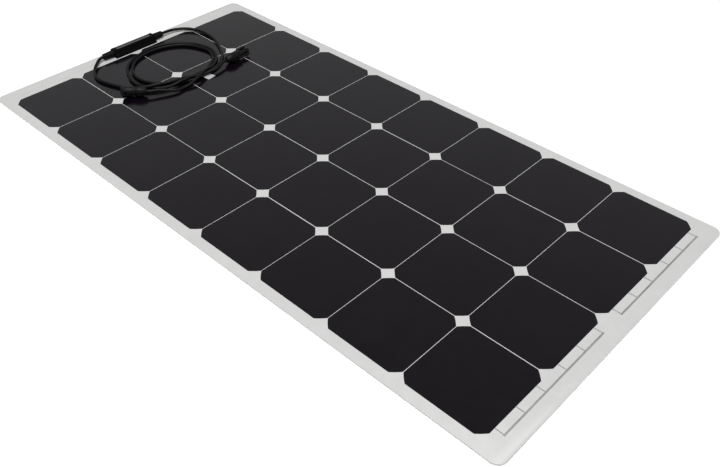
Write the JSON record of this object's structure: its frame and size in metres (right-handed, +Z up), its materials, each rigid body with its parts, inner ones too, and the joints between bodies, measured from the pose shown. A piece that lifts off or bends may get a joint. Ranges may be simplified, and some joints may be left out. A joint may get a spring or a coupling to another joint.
{
  "type": "flexible solar sheet",
  "caption": "Thin flexible solar sheet of dark square cells on a white laminate, with a low junction box at one end, coiled leads and a plug and socket.",
  "frame": {"origin": "centre of the sheet's underside", "axes": "+Y along the sheet towards the junction box, +X across it, +Z up through the cells"},
  "size_m": [0.542, 1.086, 0.0208],
  "materials": {
    "back_sheet": "satin white backing sheet",
    "front_film": "clear textured film over a white encapsulant",
    "silicon": "near-black monocrystalline cell with an anti-reflection coat",
    "tinned_copper": "tinned copper",
    "box_plastic": "black moulded plastic, fine texture",
    "rubber": "black rubber",
    "lead_jacket": "black cable jacket, slightly glossy",
    "connector_plastic": "black moulded plastic",
    "diode_epoxy": "black epoxy"
  },
  "bodies": {
    "box_end_panel": {"back_sheet_1": "back_sheet", "front_film_1": "front_film", "cell_r1_c1": "silicon", "cell_r1_c2": "silicon", "cell_r1_c3": "silicon", "cell_r1_c4": "silicon", "cell_r2_c1": "silicon", "cell_r2_c2": "silicon", "cell_r2_c3": "silicon", "cell_r2_c4": "silicon", "box_base": "box_plastic", "box_lid": "box_plastic", "strain_relief_left": "rubber", "strain_relief_right": "rubber", "bypass_diode": "diode_epoxy", "left_lead_from_box": "lead_jacket", "left_lead_to_plug": "lead_jacket", "right_lead_from_box": "lead_jacket", "right_lead_to_socket": "lead_jacket", "lead_coil": "lead_jacket", "plug_housing": "connector_plastic", "plug_contact": "tinned_copper", "socket_housing": "connector_plastic", "socket_contact": "tinned_copper"},
    "second_panel": {"back_sheet_2": "back_sheet", "front_film_2": "front_film", "cell_r3_c1": "silicon", "cell_r3_c2": "silicon", "cell_r3_c3": "silicon", "cell_r3_c4": "silicon", "cell_r4_c1": "silicon", "cell_r4_c2": "silicon", "cell_r4_c3": "silicon", "cell_r4_c4": "silicon"},
    "third_panel": {"back_sheet_3": "back_sheet", "front_film_3": "front_film", "cell_r5_c1": "silicon", "cell_r5_c2": "silicon", "cell_r5_c3": "silicon", "cell_r5_c4": "silicon", "cell_r6_c1": "silicon", "cell_r6_c2": "silicon", "cell_r6_c3": "silicon", "cell_r6_c4": "silicon"},
    "free_end_panel": {"back_sheet_4": "back_sheet", "front_film_4": "front_film", "cell_r7_c1": "silicon", "cell_r7_c2": "silicon", "cell_r7_c3": "silicon", "cell_r7_c4": "silicon", "cell_r8_c1": "silicon", "cell_r8_c2": "silicon", "cell_r8_c3": "silicon", "cell_r8_c4": "silicon", "bus_ribbon_left": "tinned_copper", "bus_ribbon_right": "tinned_copper"},
    "plug_seal_slider": {"plug_seal": "rubber"},
    "plug_cap_nut": {"plug_cap": "connector_plastic"},
    "socket_seal_slider": {"socket_seal": "rubber"},
    "socket_cap_nut": {"socket_cap": "connector_plastic"}
  },
  "joints": [
    {"name": "bend_near_box", "type": "hinge", "parent": "box_end_panel", "child": "second_panel", "pos_m": [0, 0.254, 0.00125], "axis": [-1, 0, 0], "range_deg": [-10, 10], "stiffness_Nm_per_rad": 10},
    {"name": "bend_middle", "type": "hinge", "parent": "second_panel", "child": "third_panel", "pos_m": [0, 0, 0.00125], "axis": [-1, 0, 0], "range_deg": [-10, 10], "stiffness_Nm_per_rad": 10},
    {"name": "bend_near_free_end", "type": "hinge", "parent": "third_panel", "child": "free_end_panel", "pos_m": [0, -0.254, 0.00125], "axis": [-1, 0, 0], "range_deg": [-10, 10], "stiffness_Nm_per_rad": 10},
    {"name": "plug_cap_backs_off", "type": "slide", "parent": "box_end_panel", "child": "plug_seal_slider", "axis": [-0.9986, -0.0523, 0], "range_m": [0, 0.0045]},
    {"name": "plug_cap_turn", "type": "hinge", "parent": "plug_seal_slider", "child": "plug_cap_nut", "pos_m": [0.09549, 0.34395, 0.012], "axis": [-0.9986, -0.0523, 0], "range_deg": [0, 1080]},
    {"name": "socket_cap_backs_off", "type": "slide", "parent": "box_end_panel", "child": "socket_seal_slider", "axis": [0.6947, -0.7193, 0], "range_m": [0, 0.0045]},
    {"name": "socket_cap_turn", "type": "hinge", "parent": "socket_seal_slider", "child": "socket_cap_nut", "pos_m": [-0.0879, 0.36411, 0.012], "axis": [0.6947, -0.7193, 0], "range_deg": [0, 1080]}
  ],
  "couplings": [
    {"joint": "plug_cap_turn", "follows": "plug_cap_backs_off", "rad_per_m": 4188.8},
    {"joint": "socket_cap_turn", "follows": "socket_cap_backs_off", "rad_per_m": 4188.8}
  ]
}
